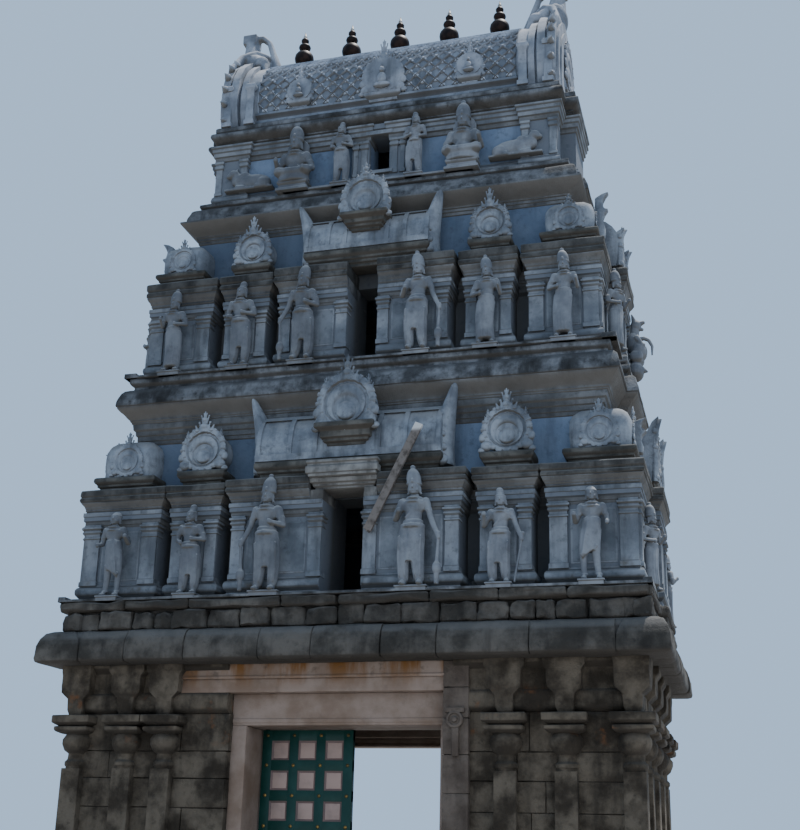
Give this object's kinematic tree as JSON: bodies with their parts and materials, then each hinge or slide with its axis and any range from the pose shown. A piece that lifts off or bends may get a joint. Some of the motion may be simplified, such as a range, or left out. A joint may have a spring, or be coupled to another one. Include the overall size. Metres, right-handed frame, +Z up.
{
  "type": "temple gateway tower",
  "caption": "Stone-based temple gateway tower with a double-leaf gate, diminishing stuccoed storeys with figures and a barrel-vaulted roof with metal pot finials.",
  "frame": {"origin": "on the ground at the middle of the tower's plan", "axes": "+Z up, the gateway's decorated front faces -Y, +X to the right seen from the front"},
  "size_m": [8, 4.446, 14.7],
  "materials": {
    "base_stone": "weathered dressed stone",
    "dark_stone": "blackened rough stone",
    "gate_plaster": "stained painted plaster",
    "door_paint": "dark green paint",
    "stucco": "weathered limewashed stucco",
    "figure_stucco": "weathered limewashed stucco",
    "cornice_stucco": "blackened stucco",
    "finial_metal": "dark oxidised",
    "timber": "grey weathered"
  },
  "bodies": {
    "tower": {"base_left": "base_stone", "base_right": "base_stone", "passage_ceiling": "base_stone", "passage_floor": "dark_stone", "base_cornice": "dark_stone", "slab_course": "dark_stone", "lintel_front": "gate_plaster", "lintel_back": "gate_plaster", "jamb_left": "gate_plaster", "jamb_right": "gate_plaster", "door_head": "gate_plaster", "door_canopy": "gate_plaster", "first_wall_front": "stucco", "first_wall_back": "stucco", "first_wall_left": "stucco", "first_wall_right": "stucco", "second_wall_front": "stucco", "second_wall_back": "stucco", "second_wall_left": "stucco", "second_wall_right": "stucco", "third_wall_front": "stucco", "third_wall_back": "stucco", "third_wall_left": "stucco", "third_wall_right": "stucco", "first_parapet_front": "stucco", "first_parapet_back": "stucco", "first_parapet_left": "stucco", "first_parapet_right": "stucco", "second_parapet_front": "stucco", "second_parapet_back": "stucco", "second_parapet_left": "stucco", "second_parapet_right": "stucco", "roof_vault": "stucco", "gable_left": "stucco", "gable_right": "stucco", "first_figures_front": "figure_stucco", "first_figures_back": "figure_stucco", "second_figures_front": "figure_stucco", "second_figures_back": "figure_stucco", "third_figures_front": "figure_stucco", "third_figures_back": "figure_stucco", "first_bay_cornice": "cornice_stucco", "second_bay_cornice": "cornice_stucco", "second_floor_cornice": "cornice_stucco", "third_floor_cornice": "cornice_stucco", "roof_cornice": "cornice_stucco", "finial_1": "finial_metal", "finial_2": "finial_metal", "finial_3": "finial_metal", "finial_4": "finial_metal", "finial_5": "finial_metal", "leaning_timber": "timber"},
    "left_leaf": {"leaf_left": "door_paint"},
    "right_leaf": {"leaf_right": "door_paint"}
  },
  "joints": [
    {"name": "left_leaf_hinge", "type": "hinge", "parent": "tower", "child": "left_leaf", "pos_m": [-1.17, -1.1, 0], "axis": [0, 0, 1], "range_deg": [0, 90]},
    {"name": "right_leaf_hinge", "type": "hinge", "parent": "tower", "child": "right_leaf", "pos_m": [1.17, -1.1, 0], "axis": [0, 0, 1], "range_deg": [0, 90]}
  ]
}
